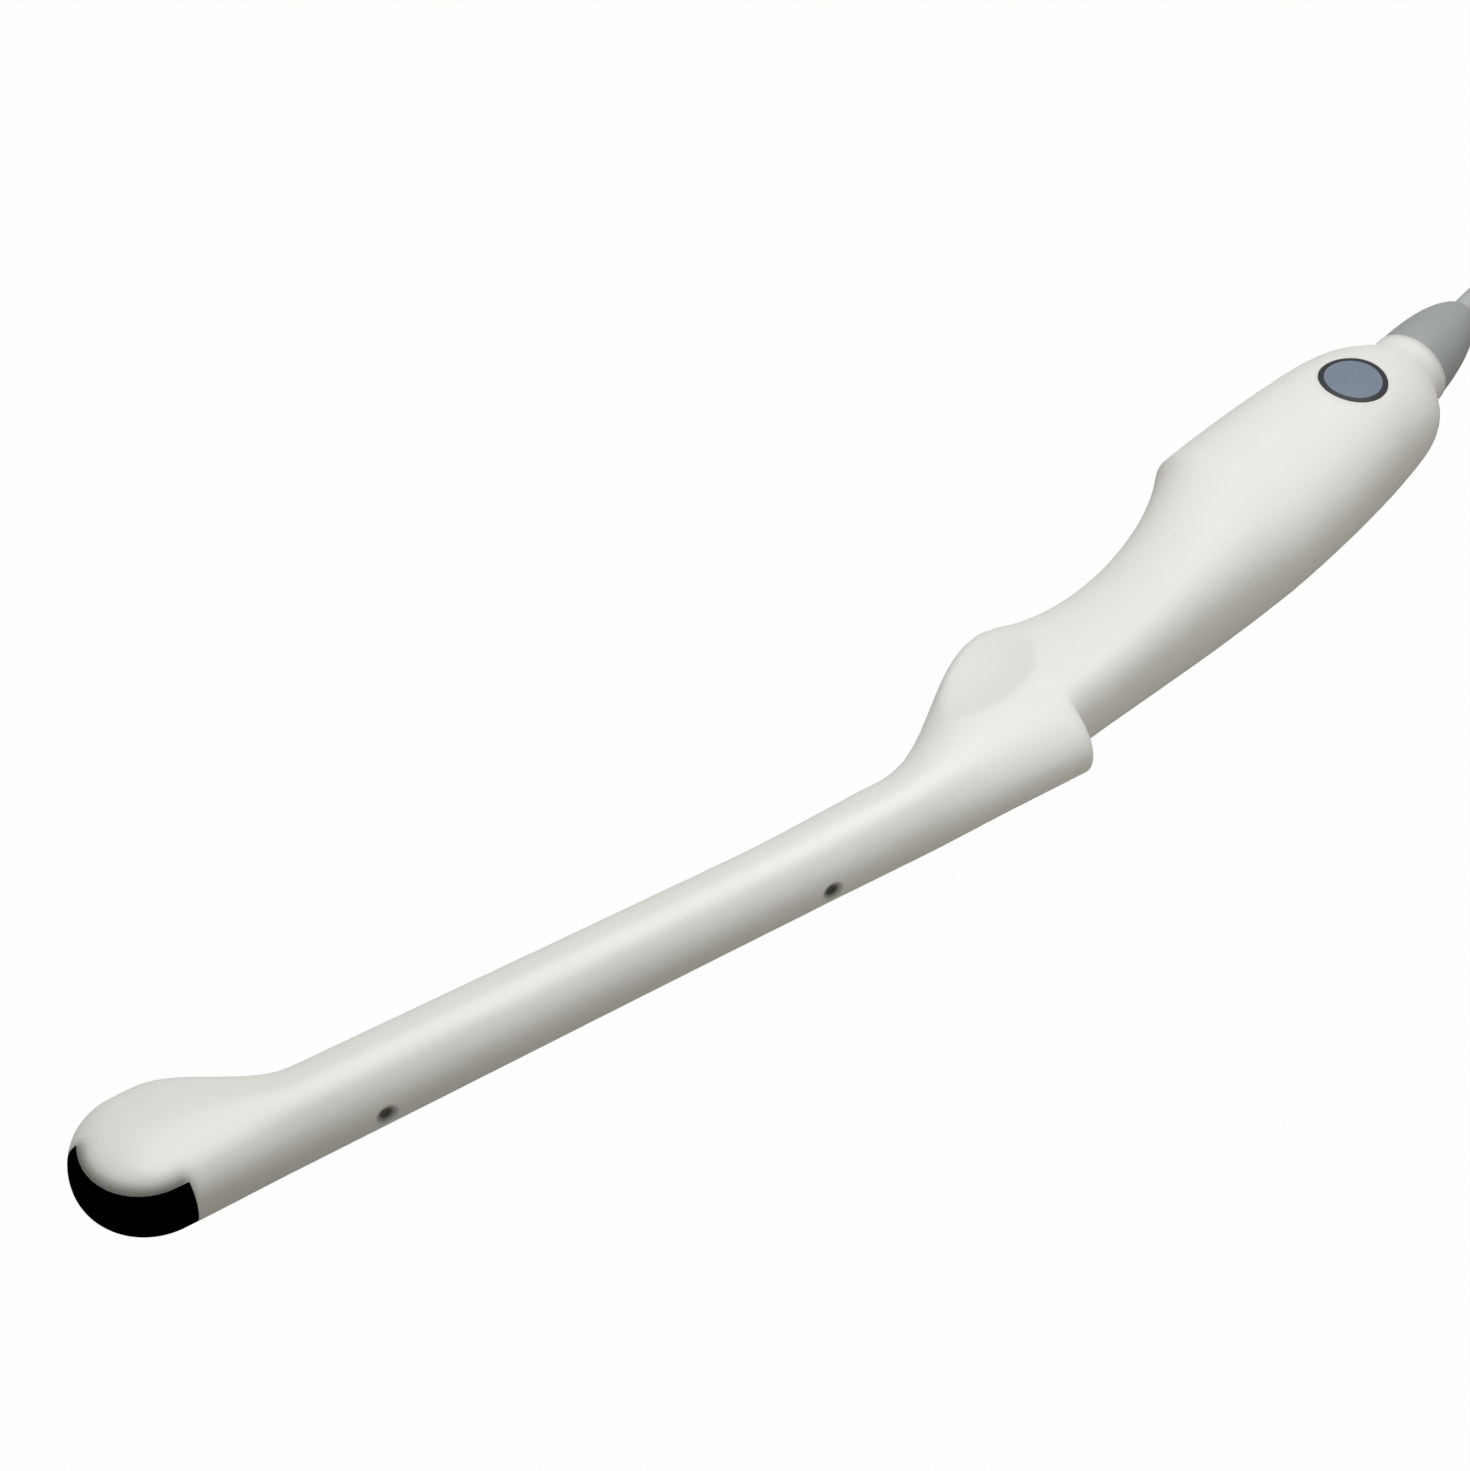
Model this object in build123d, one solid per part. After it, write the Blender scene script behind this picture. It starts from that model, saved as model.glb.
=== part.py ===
from build123d import *

import os
from math import atan2, cos, degrees, radians, sin, tan

# Curved-array endocavity ultrasound probe, lying on its flat side, with its cable wound up beside it.
# Millimetres. X runs along the shaft from the rounded head to the handle and Y points to the finger
# hump. The probe is drawn about the plane Z = 0, where its housing is split, and laid down at the end.

# Roundness of the quarters of a cross-section: a true ellipse, and fuller ones
ELLIPSE_SHARE = 0.5523
HEAD_FULL_SHARE = 0.72
BLOCK_FULL_SHARE = 0.64
HANDLE_FULL_SHARE = 0.64

# Head, shaft and block
HEAD_RADIUS = 13.2
HEAD_RISE = 8.0
HEAD_FLAT = 4.0
SHOULDER_LENGTH = 24.0
SHAFT_SIDE = 7.7
SHAFT_TOP = 8.8
WAIST_X = 118.0
WAIST_TOP = 6.85
WAIST_RISE = 7.2
HUMP_FOOT_X = 147.0
HUMP_FOOT_TOP = 7.6
HUMP_TOP_X = 185.0
HUMP_TOP = 28.1
BLOCK_X = 183.5
BLOCK_RISE = 8.5
STEP_DEPTH = 7.0
STEP_ROUND = 1.5
STEP_DRAFT = 0.4
STEP_CROWN_SHIFT = 4.5
SHAFT_RIBS = 36

# Neck with its finger groove, handle and collar
GROOVE_START = 13.1
GROOVE_DIP = 22.4
GROOVE_END = 36.1
GROOVE_LIFT = 28.9
HANDLE_X = 241.7
HANDLE_Y = 27.1
HANDLE_ANGLE = 14.0
HANDLE_HALF_WIDTH = 17.7
HANDLE_NARROWING = 2.8
HANDLE_RISE = 13.5
HANDLE_STRAIGHT = 41.0
HANDLE_LEVEL = 33.0
HANDLE_BEND = 14.5
HANDLE_RIBS = 12
END_FULLNESS_SHARE = 0.95
COLLAR_ANGLE = 20.5
COLLAR_RADIUS = 8.2
COLLAR_LENGTH = 3.5

# Housing walls, inner ribs and the lip between the two halves
WALL = 1.8
LIP_SHARE = 0.5
LIP_HEIGHT = 1.0
LIP_GAP = 0.1
RIB = 1.2
SHAFT_RIB_PLACES = (44.0, 72.0, 100.0, 132.0)
HEAD_RIB_X = 3.2
FIT = 0.05
REACH = 400.0

# Finger dishes, locating dimples and the round inlay
DISH_X = 178.0
DISH_Y = 16.9
DISH_FACE = 6.5
DISH_RADIUS = 10.6
DISH_DEPTH = 1.0
DISH_TILT = 15.8
DISH_TURN = 26.6
DIMPLE_PLACES = (38.0, 127.8)
DIMPLE_RADIUS = 2.2
DIMPLE_DEPTH = 0.8
INLAY_PLACE = 37.0
INLAY_RADIUS = 6.8
INLAY_DEPTH = 0.8
INLAY_RING = 1.1

# Lens and the curved array behind it
LENS_END = 2.3
LENS_FAR_ANGLE = 150.0
LENS_HALF_HEIGHT = 5.4
LENS_THICKNESS = 1.4
ARRAY_RADIUS = 11.7
ARRAY_HALF_HEIGHT = 3.3
ARRAY_MIDDLE = 212.0
ARRAY_HALF_ANGLE = 57.0
MATCHING_OUTER = 0.25
MATCHING_INNER = 0.3
PIEZO = 0.35
BACKING_BORE = 5.0
KERF_COUNT = 40
KERF = 0.08
KERF_FLOOR = 0.07

# Carrier, flexible circuits, stiffener and shield inside head, shaft and neck
FRAME_HALF_WIDTH = 9.0
FRAME_FRONT = 0.3
FRAME_BACK = 5.75
FRAME_TURN_X = 9.0
FRAME_END = 34.0
STIFFENER_HALF_WIDTH = 4.7
STIFFENER_HALF_HEIGHT = 1.0
STIFFENER_TURN_X = 158.0
FLEX = 0.25
FLEX_EDGE = 1.9
FLEX_HALF_WIDTH = 4.4
FLEX_TAIL = 3.0
SLEEVE_RADIUS = 5.1
SLEEVE_WALL = 0.25
SLEEVE_START = 38.0
SLEEVE_END = 146.0

# Circuit boards and their shields in the handle
BOARD_START = 2.0
BOARD_LENGTH = 36.0
BOARD_HALF_WIDTH = 11.5
BOARD_THICKNESS = 1.4
SPACER_RADIUS = 2.0
SPACER_EDGE = 2.5
BOARD_SCREW_RADIUS = 1.0
BOARD_SCREW_HEAD_RADIUS = 1.9
BOARD_SCREW_HEAD = 1.3
BOARD_NUT_RADIUS = 2.1
CAN_INSET = 4.0
CAN_HALF_WIDTH = 6.9
CAN_HEIGHT = 3.6
CAN_WALL = 0.4
HEADER_COUNT = 3
HEADER_LENGTH = 3.0
HEADER_HALF_WIDTH = 5.8
HEADER_HEIGHT = 1.8
BOSS_RADIUS = 2.5
BOSS_PLACES = (13.0, 27.0)

# Cable end in the handle, its clamp, its seal and the strain relief
CABLE_RADIUS = 2.5
CABLE_INSIDE = 14.0
BUNDLE_HALF_WIDTH = 6.0
BUNDLE_RADIUS = 2.0
BUNDLE_OVERLAP = 3.0
CLAMP_BACK = 8.0
CLAMP_LENGTH = 5.0
CLAMP_HALF_WIDTH = 6.6
CLAMP_HALF_HEIGHT = 4.5
CLAMP_SCREW_SPREAD = 4.6
CLAMP_SCREW_RADIUS = 1.0
CLAMP_SCREW_HEAD_RADIUS = 1.7
CLAMP_SCREW_HEAD = 1.2
CLAMP_SEAT_HALF_WIDTH = 2.4
BOOT_LENGTH = 20.0
BOOT_RADIUS = 8.0
BOOT_END_RADIUS = 3.3
BOOT_SHOULDER_SHARE = 0.45
BOOT_SHOULDER_RADIUS = 7.6
BOOT_TAPER_SHARE = 0.8
BOOT_TAPER_RADIUS = 6.0
SPIGOT_LENGTH = 6.0
SEAL_BACK = 2.8
SEAL_WIDTH = 1.4
SEAL_DEPTH = 0.9

# Cable outside: runs of heading, length and share of the way down, then the coil and its ties
CORD_FIRST_RUN = 12.0
CORD_RUNS = ((14.0, 18.0, 0.5), (6.0, 18.0, 1.0), (0.0, 16.0, 1.0))
BEND_SHARE = 0.45
COIL_RADIUS = 27.5
COIL_WIDTH = 20.0
COIL_HEIGHT = 15.0
COIL_ROUND = 3.0
COIL_LEAD = 21.0
COIL_EXIT = -30.0
TIE = 0.8
TIE_ANGLE = 12.5
TIE_PLACES = (190.0, 320.0)

# Plug at the far end of the cable
PLUG_BOOT_LENGTH = 18.0
PLUG_BOOT_TIP = 3.6
PLUG_BOOT_RADIUS = 6.5
PLUG_BOOT_NECK = 5.0
PLUG_BOOT_FLANGE = 1.5
PLUG_LENGTH = 60.0
PLUG_WIDTH = 46.0
PLUG_HEIGHT = 20.0
PLUG_WALL = 2.0
PLUG_ROUND = 5.0
PLUG_EDGE = 1.0
PLUG_SCREW_INSET = 5.5
PLUG_SCREW_RADIUS = 1.2
PLUG_SCREW_HEAD_RADIUS = 2.3
PLUG_SCREW_HEAD = 1.6
PLUG_SCREW_LENGTH = 14.0
PLUG_POST_RADIUS = 3.3
CONTACT_BLOCK_WIDTH = 24.0
CONTACT_BLOCK_HEIGHT = 9.0
CONTACT_BLOCK_REACH = 7.0
CONTACT_FLANGE = 1.5
CONTACT_FLANGE_LENGTH = 5.0
CONTACT_COUNT = 10
CONTACT_WIDTH = 1.4
CONTACT_LENGTH = 4.5
CONTACT_THICKNESS = 0.3


def ease(share):
    share = min(max(share, 0), 1)
    return 3 * share**2 - 2 * share**3


def between(x, start, end):
    return ease((x - start) / (end - start))


def heading(angle):
    return Vector(cos(radians(angle)), sin(radians(angle)))


def across(angle):
    return Vector(-sin(radians(angle)), cos(radians(angle)))


# A rib is one cross-section of the upper half. It has two ends on the split plane, the place of its
# crown between them, its height, and the fullness of its quarters.
def rib(low, high, rise, full, crown_share=0.5):
    return low, high, rise, full, crown_share


def rib_wire(one_rib, inset):
    low, high, rise, full, crown_share = one_rib
    along = (high - low).normalized()
    crown = low + (high - low) * crown_share
    low = low + along * inset
    high = high - along * inset
    up = Vector(0, 0, rise - inset)
    top = crown + up
    low_side = Edge.make_bezier(low, low + up * full, top + (low - crown) * full, top)
    high_side = Edge.make_bezier(top, top + (high - crown) * full, high + up * full, high)
    return Wire([low_side, high_side, Edge.make_line(high, low)])


def loft_ribs(ribs, inset, ruled=False):
    return Solid.make_loft([rib_wire(one_rib, inset) for one_rib in ribs], ruled)


# Head and shaft: the far side swells into the head at one end and into the finger hump at the other
def head_centre():
    return Vector(0, HEAD_RADIUS - SHAFT_SIDE)


def shaft_rib(x):
    head = 1 - between(x, HEAD_FLAT, HEAD_FLAT + SHOULDER_LENGTH)
    hump = between(x, HUMP_FOOT_X, HUMP_TOP_X)
    top = SHAFT_TOP + (WAIST_TOP - SHAFT_TOP) * min(x / WAIST_X, 1)
    top += (2 * HEAD_RADIUS - SHAFT_SIDE - top) * head
    top += (HUMP_FOOT_TOP - WAIST_TOP) * between(x, WAIST_X, HUMP_FOOT_X)
    top += (HUMP_TOP - HUMP_FOOT_TOP) * hump
    rise = HEAD_RISE + (WAIST_RISE - HEAD_RISE) * between(x, HEAD_FLAT, WAIST_X)
    rise += (BLOCK_RISE - WAIST_RISE) * between(x, WAIST_X, BLOCK_X)
    full = ELLIPSE_SHARE + (HEAD_FULL_SHARE - ELLIPSE_SHARE) * head
    full += (BLOCK_FULL_SHARE - ELLIPSE_SHARE) * hump
    return rib(Vector(x, -SHAFT_SIDE), Vector(x, top), rise, full)


def spread(start, end, count):
    return [start + (end - start) * step / count for step in range(count + 1)]


def head_and_shaft(inset):
    return loft_ribs([shaft_rib(x) for x in spread(0, BLOCK_X - inset, SHAFT_RIBS)], inset)


# The nose is a half turn of the head's own cross-section
def nose(inset):
    radius = HEAD_RADIUS - inset
    rise = HEAD_RISE - inset
    start = head_centre()
    foot = start + Vector(0, radius)
    top = start + Vector(0, 0, rise)
    crown = Edge.make_bezier(
        foot,
        foot + Vector(0, 0, rise * HEAD_FULL_SHARE),
        top + Vector(0, radius * HEAD_FULL_SHARE),
        top,
    )
    quarter = Face(Wire([Edge.make_line(start, foot), crown, Edge.make_line(top, start)]))
    return Solid.revolve(quarter, 180, Axis(start, (0, 0, 1)))


# The block ends in a rounded step down to the neck, on its low side only
def step_ribs(inset):
    last = shaft_rib(BLOCK_X)
    crown = (last[0].Y + last[1].Y) / 2
    corners = []
    for turn in spread(0, 90, 5):
        corners.append((sin(radians(turn)) * STEP_ROUND, (1 - cos(radians(turn))) * STEP_ROUND))
    for turn in spread(0, 90, 5):
        x = STEP_ROUND + STEP_DRAFT + (1 - cos(radians(turn))) * STEP_ROUND
        corners.append((x, STEP_DEPTH - STEP_ROUND + sin(radians(turn)) * STEP_ROUND))
    ribs = []
    for x, y in corners:
        low = Vector(BLOCK_X - inset + x, y - SHAFT_SIDE)
        high = Vector(BLOCK_X - inset + x, last[1].Y)
        crown_share = (crown - STEP_CROWN_SHIFT * y / STEP_DEPTH - low.Y) / (high.Y - low.Y)
        ribs.append(rib(low, high, BLOCK_RISE, BLOCK_FULL_SHARE, crown_share))
    return ribs


def step(inset):
    return loft_ribs([shaft_rib(BLOCK_X - inset)] + step_ribs(inset)[1:], inset, ruled=True)


# The neck runs from the step to the sharp corner of the finger groove, with its ribs turning
def handle_point(along, side=0):
    return Vector(HANDLE_X, HANDLE_Y) + heading(HANDLE_ANGLE) * along + across(HANDLE_ANGLE) * side


def neck_ribs(inset):
    first = step_ribs(inset)[-1]
    low_end = handle_point(0, -HANDLE_HALF_WIDTH)
    high_end = handle_point(0, HANDLE_HALF_WIDTH)
    step_end = BLOCK_X + 2 * STEP_ROUND + STEP_DRAFT
    groove = Edge.make_bezier(
        first[1],
        Vector(step_end + GROOVE_START, GROOVE_DIP),
        Vector(step_end + GROOVE_END, GROOVE_LIFT),
        high_end,
    )
    ribs = []
    for share in spread(0, 1, 6):
        low = first[0] + (low_end - first[0]) * share
        rise = BLOCK_RISE + (HANDLE_RISE - BLOCK_RISE) * ease(share)
        full = BLOCK_FULL_SHARE + (HANDLE_FULL_SHARE - BLOCK_FULL_SHARE) * share
        crown_share = first[4] + (0.5 - first[4]) * share
        ribs.append(rib(low, groove.position_at(share), rise, full, crown_share))
    return ribs


def neck(inset):
    return loft_ribs(neck_ribs(inset), inset)


# The handle is a rounded pod that narrows and bends a little further into a round collar
def handle_spine(along):
    bend = min(max(along - HANDLE_STRAIGHT, 0), HANDLE_BEND)
    bend_radius = HANDLE_BEND / radians(COLLAR_ANGLE - HANDLE_ANGLE)
    angle = HANDLE_ANGLE + degrees(bend / bend_radius)
    place = handle_point(min(along, HANDLE_STRAIGHT))
    turned = radians(angle) - radians(HANDLE_ANGLE)
    place += heading(HANDLE_ANGLE) * bend_radius * sin(turned)
    place += across(HANDLE_ANGLE) * bend_radius * (1 - cos(turned))
    place += heading(COLLAR_ANGLE) * max(along - HANDLE_STRAIGHT - HANDLE_BEND, 0)
    return place, angle


def handle_end():
    return HANDLE_STRAIGHT + HANDLE_BEND


def rounded_end(along, start, size):
    share = min(max((along - start) / (handle_end() - start), 0), 1)
    return COLLAR_RADIUS + (size - COLLAR_RADIUS) * (1 - share**2) ** END_FULLNESS_SHARE


def handle_rib(along):
    place, angle = handle_spine(along)
    straight = min(along, HANDLE_STRAIGHT)
    half_width = HANDLE_HALF_WIDTH - HANDLE_NARROWING * (straight / HANDLE_STRAIGHT) ** 2
    half_width = rounded_end(along, HANDLE_STRAIGHT, half_width)
    rise = rounded_end(along, HANDLE_LEVEL, HANDLE_RISE)
    full = HANDLE_FULL_SHARE
    full += (ELLIPSE_SHARE - HANDLE_FULL_SHARE) * between(along, HANDLE_LEVEL, handle_end())
    return rib(place - across(angle) * half_width, place + across(angle) * half_width, rise, full)


def handle(inset):
    return loft_ribs([handle_rib(along) for along in spread(0, handle_end(), HANDLE_RIBS)], inset)


def collar(inset):
    return loft_ribs([handle_rib(handle_end()), handle_rib(handle_end() + COLLAR_LENGTH)], inset, ruled=True)


def skin(inset):
    pieces = [nose(inset), head_and_shaft(inset), step(inset), neck(inset), handle(inset), collar(inset)]
    return Part() + pieces


# Plain shapes used by many pieces: a block between two corners, and a cylinder along Z or X
def block(low, high):
    size = Vector(*high) - Vector(*low)
    return Pos(*low) * Box(size.X, size.Y, size.Z, align=(Align.MIN, Align.MIN, Align.MIN))


def post(x, y, low, high, radius):
    return Pos(x, y, low) * Cylinder(radius, high - low, align=(Align.CENTER, Align.CENTER, Align.MIN))


def rod(start, end, y, radius):
    along = Cylinder(radius, end - start, align=(Align.CENTER, Align.CENTER, Align.MIN))
    return Pos(start, y, 0) * Rot(0, 90, 0) * along


def mirrored(shape):
    return mirror(shape, about=Plane.XY)


def in_handle(shape):
    return Location((HANDLE_X, HANDLE_Y, 0), (0, 0, HANDLE_ANGLE)) * shape


def in_collar(shape):
    end = handle_spine(handle_end() + COLLAR_LENGTH)[0]
    return Location((end.X, end.Y, 0), (0, 0, COLLAR_ANGLE)) * shape


# A strip that follows a line of points on the split plane
def strip(path, half_width, low, high):
    left, right = [], []
    for place, point in enumerate(path):
        before = point - path[place - 1] if place else path[1] - point
        after = path[place + 1] - point if place < len(path) - 1 else before
        side = (before.normalized() + after.normalized()).normalized().rotate(Axis.Z, 90)
        reach = half_width / cos(radians(before.get_angle(after) / 2))
        left.append(point + side * reach + Vector(0, 0, low))
        right.append(point - side * reach + Vector(0, 0, low))
    outline = Wire.make_polygon(left + right[::-1], close=True)
    return extrude(Face(outline), high - low, dir=(0, 0, 1))


# Housing: two moulded halves with a finger dish, ribs, a lens window and a stepped lip
def dish(inset):
    radius = (DISH_RADIUS**2 + DISH_DEPTH**2) / (2 * DISH_DEPTH)
    ball = Pos(0, 0, radius - DISH_DEPTH) * Sphere(radius + inset)
    return Pos(DISH_X, DISH_Y, DISH_FACE) * Rot(0, 0, DISH_TURN) * Rot(-DISH_TILT, 0, 0) * ball


def dimples():
    radius = (DIMPLE_RADIUS**2 + DIMPLE_DEPTH**2) / (2 * DIMPLE_DEPTH)
    return [Pos(x, DIMPLE_DEPTH - SHAFT_SIDE - radius, 0) * Sphere(radius) for x in DIMPLE_PLACES]


def sleeve_y():
    return (WAIST_TOP - SHAFT_SIDE) / 2


def shaft_supports(inner):
    bore = rod(0, HUMP_TOP_X, sleeve_y(), SLEEVE_RADIUS + FIT)
    return [(inner & block((x, -REACH, 0), (x + RIB, REACH, REACH))) - bore for x in SHAFT_RIB_PLACES]


def head_support(inner):
    foot = ARRAY_HALF_HEIGHT + FLEX + FIT
    return inner & block((HEAD_RIB_X, -REACH, foot), (HEAD_RIB_X + RIB, REACH, REACH))


def board_top():
    return STIFFENER_HALF_HEIGHT + FLEX + BOARD_THICKNESS


def handle_supports(inner):
    can_top = board_top() + CAN_HEIGHT + FIT
    bosses = [inner & in_handle(post(place, 0, can_top, REACH, BOSS_RADIUS)) for place in BOSS_PLACES]
    front = -CLAMP_BACK - CLAMP_LENGTH
    low = (front + RIB, -CLAMP_SEAT_HALF_WIDTH, CLAMP_HALF_HEIGHT + FIT)
    seat = inner & in_collar(block(low, (-CLAMP_BACK - RIB, CLAMP_SEAT_HALF_WIDTH, REACH)))
    return bosses + [seat]


# The zone of the lens runs round the nose, from its near side to a point past its tip
def lens_zone(extra):
    centre = head_centre()
    band = block((-REACH, -REACH, 0), (LENS_END + extra, REACH, LENS_HALF_HEIGHT + extra))
    far_side = block((-REACH, -REACH, -REACH), (REACH, -extra, REACH))
    return band - Location((centre.X, centre.Y, 0), (0, 0, LENS_FAR_ANGLE)) * far_side


def housing_half(outer, inner):
    window = lens_zone(FIT)
    supports = [inner & dish(WALL), head_support(inner)] + shaft_supports(inner) + handle_supports(inner)
    return (outer - inner) + supports - [dish(0), window] - dimples()


def lip_zone(start, height):
    return block((start, -REACH, 0), (REACH, REACH, height))


def housing_upper(half):
    lip_start = LENS_END + WALL
    rebate = skin(WALL * LIP_SHARE) & lip_zone(lip_start, LIP_HEIGHT + LIP_GAP)
    return half - rebate - inlay_zone(0, INLAY_RADIUS, INLAY_DEPTH)


def housing_lower(half, inner):
    lip_start = LENS_END + WALL + LIP_GAP
    tongue = (skin(WALL * LIP_SHARE + LIP_GAP) & lip_zone(lip_start, LIP_HEIGHT)) - inner
    return mirrored(half) + tongue


# Round inlay of two pieces, flush with the handle's face
def inlay_zone(bore, radius, depth):
    place = handle_point(INLAY_PLACE)
    plug = post(place.X, place.Y, 0, REACH, radius)
    if bore:
        plug -= post(place.X, place.Y, 0, REACH, bore)
    return (plug & handle(0)) - handle(depth)


def index_ring():
    return inlay_zone(INLAY_RADIUS - INLAY_RING, INLAY_RADIUS - FIT, INLAY_DEPTH - FIT)


def index_disc():
    return inlay_zone(0, INLAY_RADIUS - INLAY_RING - FIT, INLAY_DEPTH - FIT)


# Lens, cast over the window, and the layers of the curved array, concentric behind it
def acoustic_lens():
    head = head_centre()
    form = nose(0) + head_and_shaft(0)
    core = nose(LENS_THICKNESS) + head_and_shaft(LENS_THICKNESS)
    band = (form & lens_zone(0)) - core
    band -= post(head.X, head.Y, 0, ARRAY_HALF_HEIGHT + FLEX + 2 * FIT, ARRAY_RADIUS + FIT)
    return band + mirrored(band)


def sector(inner, outer, half_height):
    start = heading(ARRAY_MIDDLE - ARRAY_HALF_ANGLE)
    up = Vector(0, 0, half_height)
    centre = head_centre()
    near, far = centre + start * inner, centre + start * outer
    face = Face(Wire.make_polygon([near - up, far - up, far + up, near + up], close=True))
    return Solid.revolve(face, 2 * ARRAY_HALF_ANGLE, Axis(centre, (0, 0, 1)))


def matching_layer_outer():
    return sector(ARRAY_RADIUS - MATCHING_OUTER, ARRAY_RADIUS, ARRAY_HALF_HEIGHT)


def matching_layer_inner():
    outer = ARRAY_RADIUS - MATCHING_OUTER
    return sector(outer - MATCHING_INNER, outer, ARRAY_HALF_HEIGHT)


def piezo_radius():
    return ARRAY_RADIUS - MATCHING_OUTER - MATCHING_INNER


# The piezo layer is diced into elements by thin cuts from behind
def piezo_array():
    outer = piezo_radius()
    layer = sector(outer - PIEZO, outer, ARRAY_HALF_HEIGHT)
    cut = block((outer - 2 * PIEZO, -KERF / 2, -REACH), (outer - KERF_FLOOR, KERF / 2, REACH))
    centre = head_centre()
    cuts = []
    start = ARRAY_MIDDLE - ARRAY_HALF_ANGLE
    for angle in spread(start, start + 2 * ARRAY_HALF_ANGLE, KERF_COUNT)[1:-1]:
        cuts.append(Location((centre.X, centre.Y, 0), (0, 0, angle)) * cut)
    return layer - cuts


def backing_block():
    return sector(BACKING_BORE, piezo_radius() - PIEZO, ARRAY_HALF_HEIGHT)


# Metal frame that carries the array, with a tongue into the shaft
def frame_path():
    centre = head_centre()
    path = [Vector(FRAME_BACK, centre.Y), Vector(FRAME_TURN_X, centre.Y)]
    return path + [Vector(HEAD_FLAT + SHOULDER_LENGTH, sleeve_y()), Vector(FRAME_END, sleeve_y())]


def array_frame():
    centre = head_centre()
    side, up = FRAME_HALF_WIDTH, ARRAY_HALF_HEIGHT
    body = block((FRAME_FRONT, centre.Y - side, -up), (FRAME_BACK, centre.Y + side, up))
    boss = post(centre.X, centre.Y, -up, up, BACKING_BORE - FIT)
    boss &= block((-REACH, -REACH, -REACH), (FRAME_FRONT, REACH, REACH))
    tongue = strip(frame_path(), STIFFENER_HALF_WIDTH, -STIFFENER_HALF_HEIGHT, STIFFENER_HALF_HEIGHT)
    return body + boss + tongue


# Glass-fibre stiffener through shaft and neck, up to the boards
def middle(one_rib):
    return (one_rib[0] + one_rib[1]) / 2


def stiffener_path():
    ribs = neck_ribs(0)
    path = [Vector(FRAME_END, sleeve_y()), Vector(STIFFENER_TURN_X, sleeve_y())]
    return path + [middle(ribs[0]), middle(ribs[len(ribs) // 2]), handle_point(0)]


def flex_stiffener():
    return strip(stiffener_path(), STIFFENER_HALF_WIDTH, -STIFFENER_HALF_HEIGHT, STIFFENER_HALF_HEIGHT)


# Flexible circuit: a flap over the array, a riser, and a long tail that ends under its board
def flex_circuit():
    centre = head_centre()
    flap_low = ARRAY_HALF_HEIGHT
    flap = post(centre.X, centre.Y, flap_low, flap_low + FLEX, ARRAY_RADIUS - FLEX_EDGE)
    flap &= block((-REACH, -REACH, 0), (FRAME_BACK, REACH, REACH))
    low = (FRAME_BACK, centre.Y - FLEX_HALF_WIDTH, STIFFENER_HALF_HEIGHT)
    riser = block(low, (FRAME_BACK + FLEX, centre.Y + FLEX_HALF_WIDTH, flap_low + FLEX))
    path = frame_path()[:-1] + stiffener_path()[1:] + [handle_point(BOARD_START + FLEX_TAIL)]
    straight = path[:-2] + path[-1:]
    tail = strip(straight, FLEX_HALF_WIDTH, STIFFENER_HALF_HEIGHT, STIFFENER_HALF_HEIGHT + FLEX)
    return flap + riser + tail


def shield_sleeve():
    bore = rod(SLEEVE_START, SLEEVE_END, sleeve_y(), SLEEVE_RADIUS - SLEEVE_WALL)
    return rod(SLEEVE_START, SLEEVE_END, sleeve_y(), SLEEVE_RADIUS) - bore


# Two boards on spacers, screwed together, each with a row of connectors under a shield can
def screw_places():
    side = BOARD_HALF_WIDTH - SPACER_EDGE
    ends = (BOARD_START + 2 * SPACER_EDGE + FLEX_TAIL, BOARD_START + BOARD_LENGTH - SPACER_EDGE)
    return [(along, across_side) for along in ends for across_side in (-side, side)]


def board_gap():
    return STIFFENER_HALF_HEIGHT + FLEX


def termination_board():
    low = (BOARD_START, -BOARD_HALF_WIDTH, board_gap())
    board = block(low, (BOARD_START + BOARD_LENGTH, BOARD_HALF_WIDTH, board_top()))
    holes = [post(x, y, 0, REACH, BOARD_SCREW_RADIUS + FIT) for x, y in screw_places()]
    return in_handle(board - holes)


def board_spacers():
    gap = board_gap()
    spacers = []
    for x, y in screw_places():
        bore = post(x, y, -gap, gap, BOARD_SCREW_RADIUS + FIT)
        spacers.append(post(x, y, -gap, gap, SPACER_RADIUS) - bore)
    return in_handle(Compound(spacers))


def board_screws():
    top = board_top()
    screws = []
    for x, y in screw_places():
        shank = post(x, y, -top - BOARD_SCREW_HEAD, top, BOARD_SCREW_RADIUS)
        screws.append(shank + post(x, y, top, top + BOARD_SCREW_HEAD, BOARD_SCREW_HEAD_RADIUS))
    return in_handle(Compound(screws))


def board_nuts():
    top = board_top()
    nuts = []
    for x, y in screw_places():
        nut = Pos(x, y, -top) * extrude(RegularPolygon(BOARD_NUT_RADIUS, 6), -BOARD_SCREW_HEAD)
        nuts.append(nut - post(x, y, -REACH, 0, BOARD_SCREW_RADIUS + FIT))
    return in_handle(Compound(nuts))


def shield_can():
    start, end = BOARD_START + CAN_INSET, BOARD_START + BOARD_LENGTH - CAN_INSET
    side, low, high = CAN_HALF_WIDTH, board_top(), board_top() + CAN_HEIGHT
    can = block((start, -side, low), (end, side, high))
    inside = (start + CAN_WALL, CAN_WALL - side, low), (end - CAN_WALL, side - CAN_WALL, high - CAN_WALL)
    return in_handle(can - block(*inside))


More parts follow.
